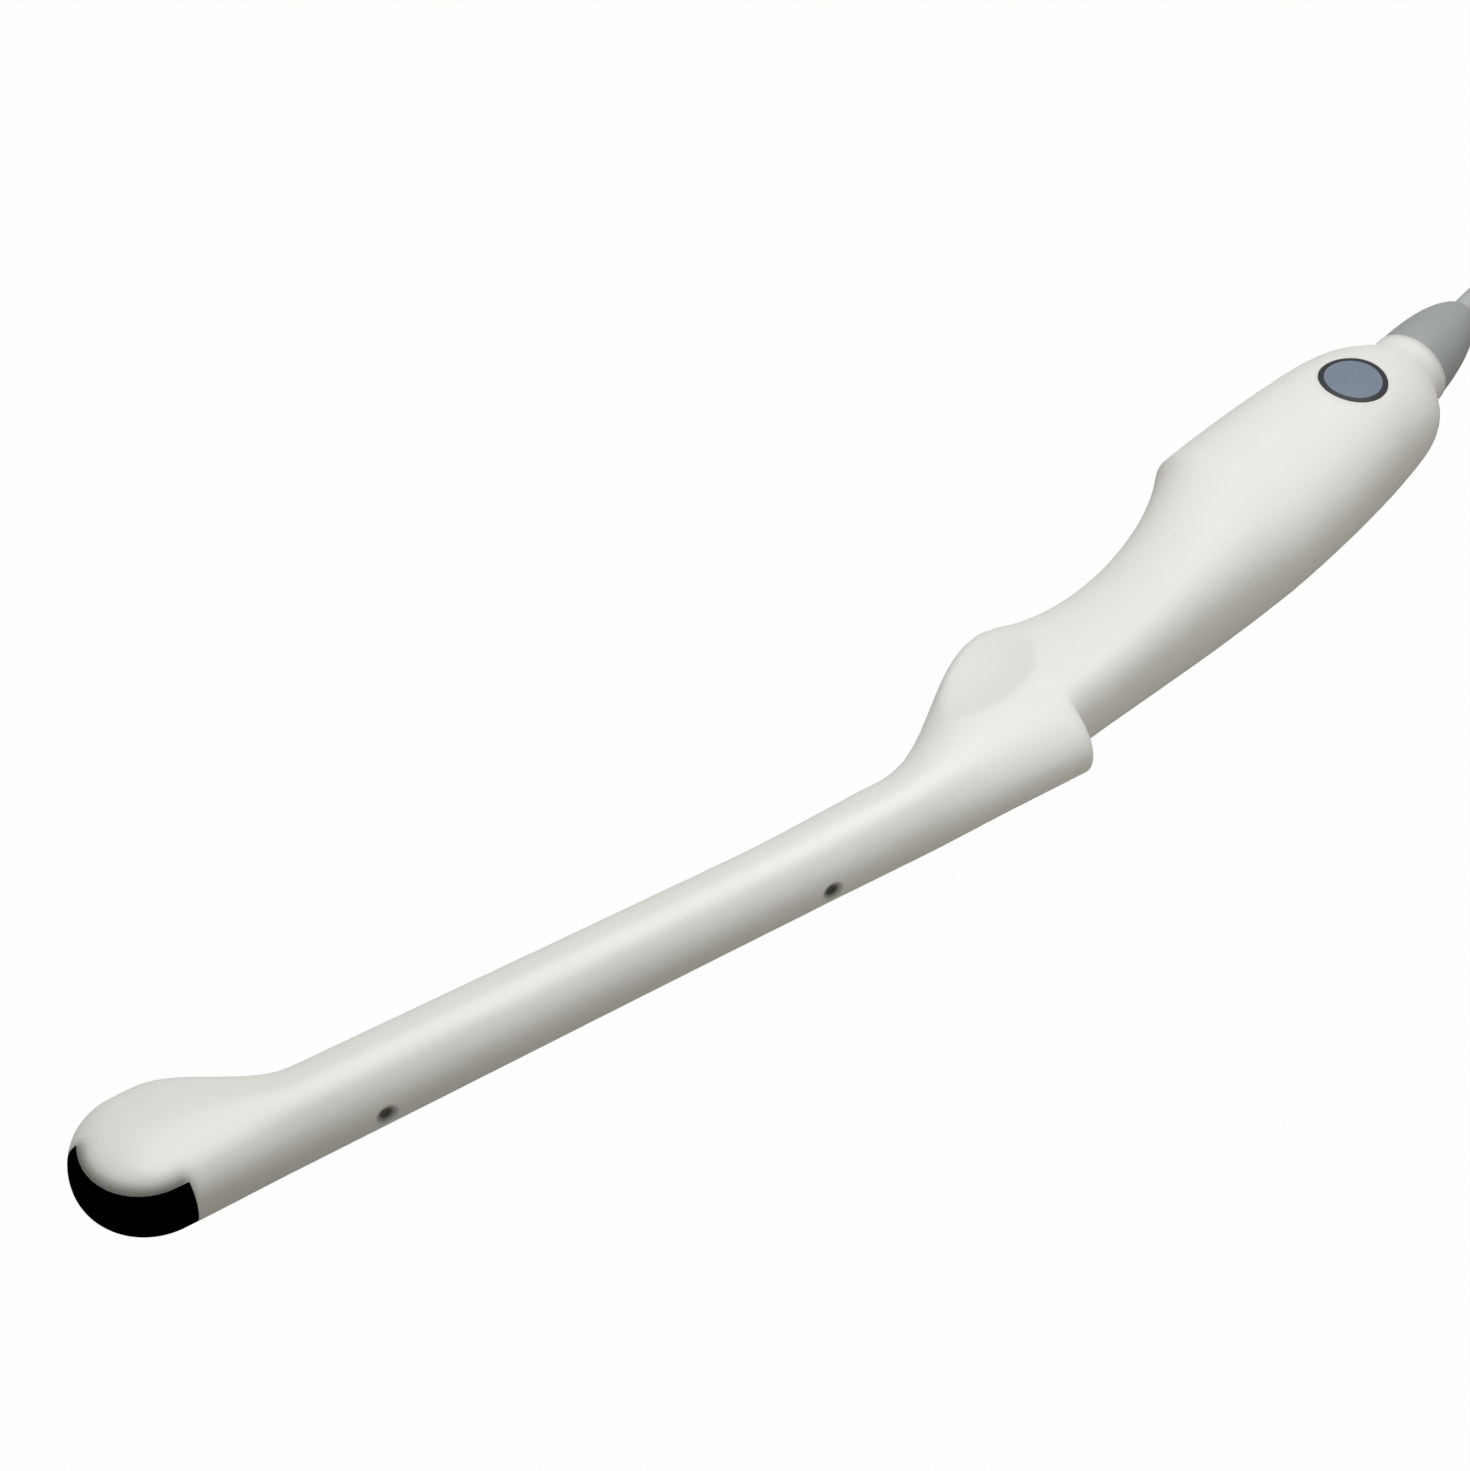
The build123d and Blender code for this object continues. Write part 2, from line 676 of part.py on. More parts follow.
def coax_headers():
    start, end = BOARD_START + CAN_INSET, BOARD_START + BOARD_LENGTH - CAN_INSET
    pitch = (end - start) / (HEADER_COUNT + 1)
    headers = []
    for place in range(HEADER_COUNT):
        middle_x = start + pitch * (place + 1)
        low = (middle_x - HEADER_LENGTH / 2, -HEADER_HALF_WIDTH, board_top())
        high = (middle_x + HEADER_LENGTH / 2, HEADER_HALF_WIDTH, board_top() + HEADER_HEIGHT)
        headers.append(block(low, high))
    return in_handle(Compound(headers))


# Coaxial wires fan in from the boards to the end of the cable
def coax_bundle():
    board_end = BOARD_START + BOARD_LENGTH
    side, up = BUNDLE_HALF_WIDTH, STIFFENER_HALF_HEIGHT + FLEX / 2
    flat = in_handle(block((board_end - BUNDLE_OVERLAP, -side, -up), (board_end, side, up)))
    corners = [(-side, -up), (side, -up), (side, up), (-side, up)]
    mouth = in_handle(Wire.make_polygon([Vector(board_end, *corner) for corner in corners], close=True))
    tip = in_collar(Wire.make_circle(BUNDLE_RADIUS, Plane((-CABLE_INSIDE, 0, 0), z_dir=(1, 0, 0))))
    return flat + Solid.make_loft([mouth, tip], True)


def cable_inner_end():
    return in_collar(rod(-CABLE_INSIDE, BOOT_LENGTH, 0, CABLE_RADIUS))


# Two-piece clamp that holds the cable's jacket, with two screws
def clamp_screw_x():
    return -CLAMP_BACK - CLAMP_LENGTH / 2


def cable_clamp():
    low = (-CLAMP_BACK - CLAMP_LENGTH, -CLAMP_HALF_WIDTH, FIT)
    half = block(low, (-CLAMP_BACK, CLAMP_HALF_WIDTH, CLAMP_HALF_HEIGHT))
    half -= rod(-CABLE_INSIDE, BOOT_LENGTH, 0, CABLE_RADIUS + FIT)
    for side in (-CLAMP_SCREW_SPREAD, CLAMP_SCREW_SPREAD):
        half -= post(clamp_screw_x(), side, 0, REACH, CLAMP_SCREW_RADIUS + FIT)
    return in_collar(half)


def clamp_screws():
    x, top = clamp_screw_x(), CLAMP_HALF_HEIGHT
    screws = []
    for y in (-CLAMP_SCREW_SPREAD, CLAMP_SCREW_SPREAD):
        head = post(x, y, top, top + CLAMP_SCREW_HEAD, CLAMP_SCREW_HEAD_RADIUS)
        screws.append(head + post(x, y, -top, top, CLAMP_SCREW_RADIUS))
    return in_collar(Compound(screws))


# Strain relief: a spigot with a seal groove inside the collar, and a tapered boot outside
def spigot_radius():
    return COLLAR_RADIUS - WALL - 2 * FIT


def strain_relief_boot():
    taper = Edge.make_bezier(
        Vector(0, BOOT_RADIUS),
        Vector(BOOT_LENGTH * BOOT_SHOULDER_SHARE, BOOT_SHOULDER_RADIUS),
        Vector(BOOT_LENGTH * BOOT_TAPER_SHARE, BOOT_TAPER_RADIUS),
        Vector(BOOT_LENGTH, BOOT_END_RADIUS),
    )
    bore = CABLE_RADIUS + FIT
    spigot = spigot_radius()
    rest = Wire.make_polygon(
        [
            Vector(BOOT_LENGTH, BOOT_END_RADIUS),
            Vector(BOOT_LENGTH, bore),
            Vector(-SPIGOT_LENGTH, bore),
            Vector(-SPIGOT_LENGTH, spigot),
            Vector(0, spigot),
            Vector(0, BOOT_RADIUS),
        ],
        close=False,
    )
    boot = revolve(Face(Wire([taper] + rest.edges())), Axis.X)
    return in_collar(boot - seal(spigot + 2 * FIT))


def seal(radius):
    start, end = -SEAL_BACK - SEAL_WIDTH, -SEAL_BACK
    return rod(start, end, 0, radius) - rod(start, end, 0, spigot_radius() - SEAL_DEPTH)


def boot_seal_ring():
    return in_collar(seal(spigot_radius() + FIT))


# Cable outside the probe, on the table: from the boot down to the coil
def tube_points(lay):
    points = [(lay * in_collar(Pos(BOOT_LENGTH + run, 0, 0))).position for run in (0, CORD_FIRST_RUN)]
    high, low = points[1].Z, TIE + CABLE_RADIUS
    for angle, length, share in CORD_RUNS:
        last = points[-1] + heading(angle) * length
        points.append(Vector(last.X, last.Y, high + (low - high) * share))
    return points


def bend_radii(points):
    radii = []
    for before, corner, after in zip(points, points[1:], points[2:]):
        one, two = corner - before, after - corner
        half_turn = radians(one.get_angle(two) / 2)
        radii.append(BEND_SHARE * min(one.length, two.length) / tan(half_turn))
    return radii


def cable(lay):
    points = tube_points(lay)
    radii = bend_radii(points)
    print("cable points", points, "bend radii", radii)
    route = FilletPolyline(*points, radius=radii)
    return sweep(Plane(points[0], z_dir=points[1] - points[0]) * Circle(CABLE_RADIUS), path=route.wire())


def cable_run(start, angle, length):
    return extrude(Plane(start, z_dir=heading(angle)) * Circle(CABLE_RADIUS), length)


# The spare cable as one ring, with a straight lead at each end
def outer_turn():
    return COIL_RADIUS + COIL_WIDTH / 2 - CABLE_RADIUS


def coil_centre(lay):
    end = tube_points(lay)[-1] + heading(CORD_RUNS[-1][0]) * COIL_LEAD
    return end - across(CORD_RUNS[-1][0]) * outer_turn() - Vector(0, 0, end.Z)


def ring_section(growth):
    width, height = COIL_WIDTH + 2 * growth, COIL_HEIGHT + 2 * growth
    section = RectangleRounded(width, height, COIL_ROUND + growth)
    return Plane.XZ * Pos(COIL_RADIUS, TIE + COIL_HEIGHT / 2) * section


def plug_start(lay):
    leave = coil_centre(lay) + across(COIL_EXIT) * outer_turn()
    return leave + Vector(0, 0, PLUG_HEIGHT / 2)


def cable_coil(lay):
    ring = Pos(*coil_centre(lay)) * revolve(ring_section(0), Axis.Z)
    lead_in = cable_run(tube_points(lay)[-1], CORD_RUNS[-1][0], COIL_LEAD)
    return ring + lead_in + cable_run(plug_start(lay), COIL_EXIT, COIL_LEAD)


def cable_ties(lay):
    tie = revolve(ring_section(TIE) - ring_section(0), Axis.Z, TIE_ANGLE)
    return Compound([Pos(*coil_centre(lay)) * Rot(0, 0, place) * tie for place in TIE_PLACES])


# Plug: drawn about its own middle plane, from the small end of its boot along X
def at_plug(lay, shape):
    start = plug_start(lay) + heading(COIL_EXIT) * COIL_LEAD
    return Location(tuple(start), (0, 0, COIL_EXIT)) * shape


def plug_middle():
    return PLUG_BOOT_LENGTH + PLUG_LENGTH / 2


def plug_screw_places():
    along = PLUG_LENGTH / 2 - PLUG_SCREW_INSET
    side = PLUG_WIDTH / 2 - PLUG_SCREW_INSET
    return [(plug_middle() + x * along, y * side) for x in (-1, 1) for y in (-1, 1)]


def plug_shell():
    half = PLUG_HEIGHT / 2
    places = plug_screw_places()
    form = extrude(RectangleRounded(PLUG_LENGTH, PLUG_WIDTH, PLUG_ROUND), half)
    form = chamfer(form.faces().sort_by(Axis.Z)[-1].edges(), PLUG_EDGE)
    inner_size = PLUG_LENGTH - 2 * PLUG_WALL, PLUG_WIDTH - 2 * PLUG_WALL
    hollow = extrude(RectangleRounded(*inner_size, PLUG_ROUND - PLUG_WALL), half - PLUG_WALL)
    shell = Pos(plug_middle(), 0, 0) * (form - hollow)
    shell += [post(x, y, 0, half - PLUG_WALL, PLUG_POST_RADIUS) for x, y in places]
    depth, bore = PLUG_SCREW_LENGTH - half + FIT, PLUG_SCREW_RADIUS + FIT
    shell -= [post(x, y, 0, depth, bore) for x, y in places]
    shell -= rod(0, plug_middle(), 0, PLUG_BOOT_NECK + FIT)
    side, up = CONTACT_BLOCK_WIDTH / 2 + FIT, CONTACT_BLOCK_HEIGHT / 2 + FIT
    return shell - block((plug_middle(), -side, 0), (PLUG_BOOT_LENGTH + PLUG_LENGTH + PLUG_WALL, side, up))


def plug_shell_lower():
    half = PLUG_HEIGHT / 2
    shell = mirrored(plug_shell())
    shell -= [post(x, y, -half, 0, PLUG_SCREW_RADIUS + FIT) for x, y in plug_screw_places()]
    top = PLUG_SCREW_HEAD + FIT - half
    return shell - [post(x, y, -half, top, PLUG_SCREW_HEAD_RADIUS + FIT) for x, y in plug_screw_places()]


def plug_screws():
    half = PLUG_HEIGHT / 2
    screws = []
    for x, y in plug_screw_places():
        head = post(x, y, -half, PLUG_SCREW_HEAD - half, PLUG_SCREW_HEAD_RADIUS)
        screws.append(head + post(x, y, -half, PLUG_SCREW_LENGTH - half, PLUG_SCREW_RADIUS))
    return Compound(screws)


def plug_boot():
    wall_end = PLUG_BOOT_LENGTH + PLUG_WALL
    outline = [
        Vector(0, 0),
        Vector(0, PLUG_BOOT_TIP),
        Vector(PLUG_BOOT_LENGTH, PLUG_BOOT_RADIUS),
        Vector(PLUG_BOOT_LENGTH, PLUG_BOOT_NECK),
        Vector(wall_end, PLUG_BOOT_NECK),
        Vector(wall_end, PLUG_BOOT_RADIUS),
        Vector(wall_end + PLUG_BOOT_FLANGE, PLUG_BOOT_RADIUS),
        Vector(wall_end + PLUG_BOOT_FLANGE, 0),
    ]
    return revolve(Face(Wire.make_polygon(outline, close=True)), Axis.X)


def plug_contact_block():
    end = PLUG_BOOT_LENGTH + PLUG_LENGTH
    start = end - PLUG_WALL - CONTACT_FLANGE_LENGTH
    side, up = CONTACT_BLOCK_WIDTH / 2, CONTACT_BLOCK_HEIGHT / 2
    tongue = block((start, -side, -up), (end + CONTACT_BLOCK_REACH, side, up))
    side, up = side + CONTACT_FLANGE, up + CONTACT_FLANGE
    return tongue + block((start, -side, -up), (end - PLUG_WALL, side, up))


def plug_contacts():
    pitch = CONTACT_BLOCK_WIDTH / CONTACT_COUNT
    end = PLUG_BOOT_LENGTH + PLUG_LENGTH + CONTACT_BLOCK_REACH
    face = CONTACT_BLOCK_HEIGHT / 2
    contacts = []
    for place in range(CONTACT_COUNT):
        y = pitch * (place + 0.5) - CONTACT_BLOCK_WIDTH / 2
        for low in (-face - CONTACT_THICKNESS, face):
            corner = (end - CONTACT_LENGTH, y - CONTACT_WIDTH / 2, low)
            contacts.append(block(corner, (end, y + CONTACT_WIDTH / 2, low + CONTACT_THICKNESS)))
    return Compound(contacts)


def cord(lay):
    return {
        "cable": cable(lay),
        "cable_coil": cable_coil(lay),
        "cable_ties": cable_ties(lay),
        "plug_shell_upper": at_plug(lay, plug_shell()),
        "plug_shell_lower": at_plug(lay, plug_shell_lower()),
        "plug_screws": at_plug(lay, plug_screws()),
        "plug_boot": at_plug(lay, plug_boot()),
        "plug_contact_block": at_plug(lay, plug_contact_block()),
        "plug_contacts": at_plug(lay, plug_contacts()),
    }


# The probe is laid down so that its head and its handle both touch the table
def resting_place(pieces):
    lean = Rot(0, -degrees(atan2(HANDLE_RISE - HEAD_RISE, HANDLE_X)), 0)
    box = (lean * Compound(pieces)).bounding_box()
    middle_x, middle_y = (box.min.X + box.max.X) / 2, (box.min.Y + box.max.Y) / 2
    return Pos(-middle_x, -middle_y, -box.min.Z) * lean


def probe():
    outer, inner = skin(0), skin(WALL)
    half = housing_half(outer, inner)
    flex = flex_circuit()
    board, can, headers, clamp = termination_board(), shield_can(), coax_headers(), cable_clamp()
    return {
        "housing_upper": housing_upper(half),
        "housing_lower": housing_lower(half, inner),
        "index_ring": index_ring(),
        "index_disc": index_disc(),
        "acoustic_lens": acoustic_lens(),
        "matching_layer_outer": matching_layer_outer(),
        "matching_layer_inner": matching_layer_inner(),
        "piezo_array": piezo_array(),
        "backing_block": backing_block(),
        "array_frame": array_frame(),
        "flex_stiffener": flex_stiffener(),
        "flex_circuit_upper": flex,
        "flex_circuit_lower": mirrored(flex),
        "shield_sleeve": shield_sleeve(),
        "termination_board_upper": board,
        "termination_board_lower": mirrored(board),
        "board_spacers": board_spacers(),
        "board_screws": board_screws(),
        "board_nuts": board_nuts(),
        "shield_can_upper": can,
        "shield_can_lower": mirrored(can),
        "coax_headers_upper": headers,
        "coax_headers_lower": mirrored(headers),
        "coax_bundle": coax_bundle(),
        "cable_clamp_upper": clamp,
        "cable_clamp_lower": mirrored(clamp),
        "clamp_screws": clamp_screws(),
        "cable_inner_end": cable_inner_end(),
        "boot_seal_ring": boot_seal_ring(),
        "strain_relief_boot": strain_relief_boot(),
    }


pieces = probe()
resting = resting_place(list(pieces.values()))
print("laid down at", resting)
laid_down = {name: resting * piece for name, piece in pieces.items()}
os.makedirs("parts", exist_ok=True)
for name, piece in {**laid_down, **cord(resting)}.items():
    export_step(piece, f"parts/{name}.step")
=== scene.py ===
from math import cos, pi, radians, sin

import bpy
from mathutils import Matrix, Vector


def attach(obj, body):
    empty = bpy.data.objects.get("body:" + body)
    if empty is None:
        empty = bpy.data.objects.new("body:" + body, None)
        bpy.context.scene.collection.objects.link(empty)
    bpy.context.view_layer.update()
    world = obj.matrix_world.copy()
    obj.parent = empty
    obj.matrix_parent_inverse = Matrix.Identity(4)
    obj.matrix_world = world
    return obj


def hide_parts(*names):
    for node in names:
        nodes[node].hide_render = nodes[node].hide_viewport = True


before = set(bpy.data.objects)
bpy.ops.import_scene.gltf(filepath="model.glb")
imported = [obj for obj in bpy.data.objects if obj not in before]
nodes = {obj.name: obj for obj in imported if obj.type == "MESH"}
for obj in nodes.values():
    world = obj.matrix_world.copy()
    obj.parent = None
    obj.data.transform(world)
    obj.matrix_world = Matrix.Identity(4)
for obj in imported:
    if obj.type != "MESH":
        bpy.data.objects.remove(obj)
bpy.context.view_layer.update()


# Table and room.
# The probe lies on a plain white table in a plain pale room. The table shows white to the camera,
# and some of it in reflections, but still takes a soft shadow from the probe.
def link_all(tree, *pairs):
    """Links sockets, each pair from an output to an input."""
    for source, target in pairs:
        tree.links.new(source, target)


def maths(tree, operation, *values):
    """A maths node of values that are sockets or numbers. Gives its result."""
    node = tree.nodes.new("ShaderNodeMath")
    node.operation = operation
    for value, socket in zip(values, node.inputs):
        if isinstance(value, float):
            socket.default_value = value
        else:
            tree.links.new(value, socket)
    return node.outputs[0]


table_size = 6
table_depth = 0.0001
table_colour = (0.36, 0.345, 0.29, 1)
white_strength = 1.0
white_seen_share, white_mirrored_share = 0.985, 0.3
bpy.ops.object.select_all(action="DESELECT")
bpy.ops.mesh.primitive_plane_add(size=table_size, location=(0, 0, -table_depth))
table = bpy.context.object
table.name = "table"
table_paint = bpy.data.materials.new("table_paint")
table_paint.use_nodes = True
tree = table_paint.node_tree
tree.nodes.clear()
output = tree.nodes.new("ShaderNodeOutputMaterial")
ray = tree.nodes.new("ShaderNodeLightPath")
seen = maths(tree, "MULTIPLY", ray.outputs["Is Camera Ray"], white_seen_share)
white_share = maths(tree, "MULTIPLY_ADD", ray.outputs["Is Glossy Ray"], white_mirrored_share, seen)
matt = tree.nodes.new("ShaderNodeBsdfDiffuse")
matt.inputs["Color"].default_value = table_colour
white = tree.nodes.new("ShaderNodeEmission")
white.inputs["Strength"].default_value = white_strength
mix = tree.nodes.new("ShaderNodeMixShader")
link_all(
    tree,
    (white_share, mix.inputs[0]),
    (matt.outputs[0], mix.inputs[1]),
    (white.outputs[0], mix.inputs[2]),
    (mix.outputs[0], output.inputs["Surface"]),
)
table.data.materials.append(table_paint)

room_colour, room_strength = (1, 0.99, 0.95, 1), 0.30
background_colour = (1, 1, 1, 1)
world = bpy.data.worlds.new("studio")
bpy.context.scene.world = world
world.use_nodes = True
tree = world.node_tree
tree.nodes.clear()
output = tree.nodes.new("ShaderNodeOutputWorld")
ray = tree.nodes.new("ShaderNodeLightPath")
room = tree.nodes.new("ShaderNodeBackground")
room.inputs["Color"].default_value = room_colour
room.inputs["Strength"].default_value = room_strength
background = tree.nodes.new("ShaderNodeBackground")
background.inputs["Color"].default_value = background_colour
background.inputs["Strength"].default_value = white_strength
mix = tree.nodes.new("ShaderNodeMixShader")
link_all(
    tree,
    (ray.outputs["Is Camera Ray"], mix.inputs[0]),
    (room.outputs[0], mix.inputs[1]),
    (background.outputs[0], mix.inputs[2]),
    (mix.outputs[0], output.inputs["Surface"]),
)


# Lamps and camera.
# A large soft lamp hangs high above the probe, and a small spot lights the near side of the handle.
# The camera looks down on the probe from the near side of its head, as the photograph does.
def hang(lamp, place, aim):
    """Hangs a lamp in the room, turned to what it lights."""
    lamp.location = place
    lamp.rotation_euler = (Vector(aim) - Vector(place)).to_track_quat("-Z", "Y").to_euler()
    bpy.context.scene.collection.objects.link(lamp)


key_size, key_power = 0.80, 8.9
key = bpy.data.lights.new("key", "AREA")
key.size = key_size
key.energy = key_power
hang(bpy.data.objects.new("key", key), place=(0.18, 0.15, 0.97), aim=(0, 0, 0))

spot_radius, spot_power, spot_cone = 0.12, 2.6, radians(26)
spot = bpy.data.lights.new("handle", "SPOT")
spot.energy = spot_power
spot.shadow_soft_size = spot_radius
spot.spot_size = spot_cone
spot.spot_blend = 1.0
hang(bpy.data.objects.new("handle_lamp", spot), place=(0.10, -0.50, 0.34), aim=(0.06, 0, 0.01))

sensor_width, focal_length = 36, 103.54
camera_place = (-0.317020, -0.425473, 0.563169)
camera_turns = (radians(43.715), radians(-1.090), radians(-33.257))
camera_data = bpy.data.cameras.new("camera")
camera_data.sensor_fit = "HORIZONTAL"
camera_data.sensor_width = sensor_width
camera_data.lens = focal_length
camera = bpy.data.objects.new("camera", camera_data)
camera.location = camera_place
camera.rotation_euler = camera_turns
bpy.context.scene.collection.objects.link(camera)
bpy.context.scene.camera = camera
bpy.context.scene.view_settings.view_transform = "Standard"


# Cable and its coil.
# A round rubber cable of 5 mm. It leaves the boot, drops to the table and runs into a flat coil of
# the spare length, where each turn moves on by one diameter to its next place, sideways or up.
cable_diameter = 0.005
rest_height = 0.0033
cable_route = [
    (0.164647, 0.026846, 0.015237),
    (0.175884, 0.031048, 0.015493),
    (0.193350, 0.035403, 0.009396),
    (0.211251, 0.037284, 0.003300),
]
coil_centre = Vector((0.248251, 0.002284, 0))
outer_turn = 0.035
# Each place is how many diameters inwards from the outer turn, and how many up
turn_places = [(0, 0), (1, 0), (2, 0), (3, 0), (3, 1), (2, 1), (1, 1), (1, 2), (0, 2), (0, 1)]
# The turning of the coil, in degrees
first_angle = 90
turn_step = 15
turned_in_all = 3270
first_change, change_length = 220, 120
# A turn that changes direction starts earlier, so that its place is free when the last one comes
same_way_gap, new_way_gap = 360, 325
plug_tip = Vector((0.283938, 0.022095, 0.010))
plug_angle = radians(-30)
plug_lead, plug_lead_drop = 0.009, 0.0007


def eased(share):
    """A share from 0 to 1 that starts and stops gently."""
    return (1 - cos(pi * min(max(share, 0), 1))) / 2


changes = []
for (inward, up), (next_inward, next_up) in zip(turn_places, turn_places[1:]):
    way = (next_inward - inward, next_up - up)
    start = first_change
    if changes:
        start = changes[-1][1] + (same_way_gap if way == changes[-1][0] else new_way_gap)
    changes.append((way, start))
coil_points = []
for turned in range(0, turned_in_all + 1, turn_step):
    inward, up = turn_places[0]
    for (way_inward, way_up), start in changes:
        share = eased((turned - start) / change_length)
        inward += way_inward * share
        up += way_up * share
    angle = radians(first_angle - turned)
    radius = outer_turn - inward * cable_diameter
    height = rest_height + up * cable_diameter
    coil_points.append(coil_centre + Vector((cos(angle) * radius, sin(angle) * radius, height)))
to_plug = Vector((cos(plug_angle), sin(plug_angle), 0))
plug_way_in = plug_tip - to_plug * plug_lead - Vector((0, 0, plug_lead_drop))

curve = bpy.data.curves.new("cable_line", "CURVE")
curve.dimensions = "3D"
line = curve.splines.new("NURBS")
route = [Vector(point) for point in cable_route] + coil_points + [plug_way_in, plug_tip]
line.points.add(len(route) - 1)
for control, point in zip(line.points, route):
    control.co = (*point, 1)
line.order_u = 3
line.use_endpoint_u = True
line.resolution_u = 6
curve.bevel_depth = cable_diameter / 2
curve.bevel_resolution = 5
cable = bpy.data.objects.new("cable_line", curve)
bpy.context.scene.collection.objects.link(cable)


def surface(name, colour, roughness, metallic=0.0, specular=0.5, mottle=0.03, cloud=60,
            grain=0.00002, grain_scale=2500, stretch=(1, 1, 1), unevenness=0.06, stripes=()):
    """A finish of fine detail: clouded colour, a grain that breaks the gloss, uneven roughness.

    Each stripe is a direction, a pitch in metres, how dark its lines are, and how deep.
    """
    cloud_detail, grain_detail = 4, 3
    dark_below, light_above = 0.3, 0.7
    smoothest = 0.02
    # At a scale of 1, the lines of a wave texture lie this many metres apart
    wave_pitch = pi / 10

    material = bpy.data.materials.new(name)
    material.use_nodes = True
    tree = material.node_tree
    skin = tree.nodes["Principled BSDF"]
    skin.inputs["Metallic"].default_value = metallic
    skin.inputs["Specular IOR Level"].default_value = specular
    place = tree.nodes.new("ShaderNodeTexCoord")
    mapping = tree.nodes.new("ShaderNodeMapping")
    mapping.inputs["Scale"].default_value = stretch
    clouds = tree.nodes.new("ShaderNodeTexNoise")
    clouds.inputs["Scale"].default_value = cloud
    clouds.inputs["Detail"].default_value = cloud_detail
    tint = tree.nodes.new("ShaderNodeValToRGB")
    dark, light = tint.color_ramp.elements
    dark.position, light.position = dark_below, light_above
    dark.color = [part * (1 - mottle) for part in colour] + [1]
    light.color = [min(part * (1 + mottle), 1) for part in colour] + [1]
    fine = tree.nodes.new("ShaderNodeTexNoise")
    fine.inputs["Scale"].default_value = grain_scale
    fine.inputs["Detail"].default_value = grain_detail
    rough = tree.nodes.new("ShaderNodeMapRange")
    rough.inputs["To Min"].default_value = max(roughness - unevenness, smoothest)
    rough.inputs["To Max"].default_value = min(roughness + unevenness, 1)
    bump = tree.nodes.new("ShaderNodeBump")
    bump.inputs["Strength"].default_value = 1.0
    bump.inputs["Distance"].default_value = grain
    link_all(
        tree,
        (place.outputs["Object"], mapping.inputs["Vector"]),
        (place.outputs["Object"], clouds.inputs["Vector"]),
        (clouds.outputs["Fac"], tint.inputs["Fac"]),
        (mapping.outputs["Vector"], fine.inputs["Vector"]),
        (fine.outputs["Fac"], rough.inputs["Value"]),
        (fine.outputs["Fac"], bump.inputs["Height"]),
        (rough.outputs["Result"], skin.inputs["Roughness"]),
    )
    tinted = tint.outputs["Color"]
    for direction, pitch, darkness, depth in stripes:
        wave = tree.nodes.new("ShaderNodeTexWave")
        wave.bands_direction = direction
        wave.inputs["Scale"].default_value = wave_pitch / pitch
        darker = tree.nodes.new("ShaderNodeMix")
        darker.data_type = "RGBA"
        darker.blend_type = "MULTIPLY"
        darker.inputs["Factor"].default_value = darkness
        ridges = tree.nodes.new("ShaderNodeBump")
        ridges.inputs["Strength"].default_value = 1.0
        ridges.inputs["Distance"].default_value = depth
        link_all(
            tree,
            (place.outputs["Object"], wave.inputs["Vector"]),
            (tinted, darker.inputs["A"]),
            (wave.outputs["Color"], darker.inputs["B"]),
            (wave.outputs["Fac"], ridges.inputs["Height"]),
            (bump.outputs["Normal"], ridges.inputs["Normal"]),
        )
        tinted = darker.outputs["Result"]
        bump = ridges
    link_all(
        tree,
        (tinted, skin.inputs["Base Color"]),
        (bump.outputs["Normal"], skin.inputs["Normal"]),
    )
    return material


cable_rubber = surface("cable_rubber", (0.39, 0.41, 0.405), 0.5, mottle=0.05)
curve.materials.append(cable_rubber)
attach(cable, "root")
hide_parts("cable", "cable_coil")


# Cable ties.
# Two moulded nylon straps, finely ribbed across, drawn tight around the coil.
def paint(material, *names):
    """Gives nodes of the frame their finish."""
    for name in names:
        nodes[name].data.materials.clear()
        nodes[name].data.materials.append(material)


tie_nylon = surface("tie_nylon", (0.016, 0.016, 0.018), 0.4, stripes=[("Z", 0.0009, 0.4, 0.00008)])
paint(tie_nylon, "cable_ties")


# Plug.
# A flat connector of two half shells in spark-textured plastic, held by screws from below, with a
# rubber boot at the cable and a black tongue of gilt contacts in front. The cord ends in it.
plug_plastic = surface("plug_plastic", (0.60, 0.60, 0.58), 0.55, grain=0.00006, grain_scale=1400)
paint(plug_plastic, "plug_shell_upper", "plug_shell_lower")
tongue_plastic = surface("tongue_plastic", (0.02, 0.02, 0.022), 0.5, mottle=0.15, grain=0.00003)
paint(tongue_plastic, "plug_contact_block")
contact_gilt = surface(
    "contact_gilt", (0.85, 0.62, 0.25), 0.25, metallic=1.0, grain_scale=900, stretch=(1, 8, 8),
)
paint(contact_gilt, "plug_contacts")
boot_rubber = surface(
    "boot_rubber", (0.315, 0.335, 0.34), 0.55, specular=0.3, mottle=0.06, grain=0.00003,
)
paint(boot_rubber, "plug_boot")
screw_steel = surface(
    "screw_steel", (0.55, 0.55, 0.56), 0.35, metallic=1.0, mottle=0.08, grain=0.00001,
    grain_scale=1600, stretch=(1, 1, 6), unevenness=0.1,
)
paint(screw_steel, "plug_screws")


# Housing.
# Two moulded shells of off-white plastic, closed by a lip along the side of the probe. The shaft has
# a satin gloss and the grip a duller one, and shade is painted dark into the locating dimples on the
# seam.
# Painted shade: round each dimple the plastic's colour darkens to near black towards its centre
dimples = [(-0.114615, -0.029901, 0.008882), (-0.024838, -0.029901, 0.010925)]
dimple_shade_colour = (0.012, 0.009, 0.005, 1)
dark_radius, shade_fade_radius = 0.0009, 0.0024
grip_start, grip_full = -0.005, 0.05
grip_added_roughness = 0.25
# Edges are rounded to the eye by up to this radius, but not at the seam between the shells
edge_radius, edge_samples = 0.003, 6
crisp_from_seam, round_from_seam = 0.0008, 0.005
# The seam's plane is square to this direction, and lies at this height along it
seam_direction, seam_height = (-0.0227, 0, 0.9997), 0.01148


